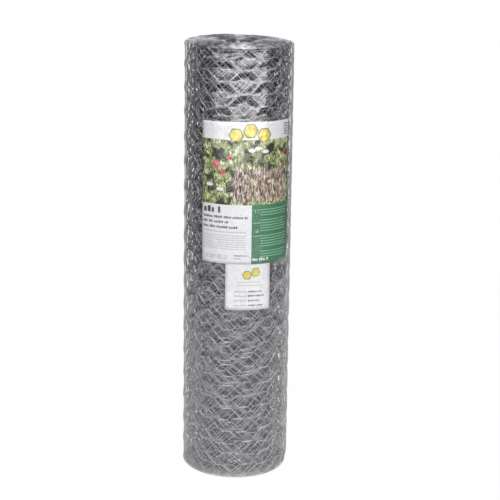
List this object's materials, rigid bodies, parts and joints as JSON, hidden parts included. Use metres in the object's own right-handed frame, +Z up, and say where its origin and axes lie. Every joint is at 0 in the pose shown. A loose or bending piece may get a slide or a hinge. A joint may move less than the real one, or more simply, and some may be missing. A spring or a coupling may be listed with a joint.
{
  "type": "wire netting roll",
  "caption": "Upright roll of hexagonal galvanised wire netting, shrink-wrapped in clear film over a printed leaflet and a small data label.",
  "frame": {"origin": "centre of the underside, where the wrapped roll stands on the ground", "axes": "+Z up the roll's axis, -Y towards the printed leaflet, +X to the right of someone who faces the leaflet"},
  "size_m": [0.1228, 0.1228, 0.5],
  "materials": {
    "galvanised_wire": "zinc-coated drawn wire, dull bright grey",
    "clear_film": "clear glossy shrink film, hazy where it gathers",
    "leaflet_paper": null,
    "label_paper": "white uncoated paper"
  },
  "bodies": {
    "root": {"netting_roll": "galvanised_wire", "shrink_film": "clear_film", "leaflet": "leaflet_paper", "data_label": "label_paper"}
  },
  "joints": []
}
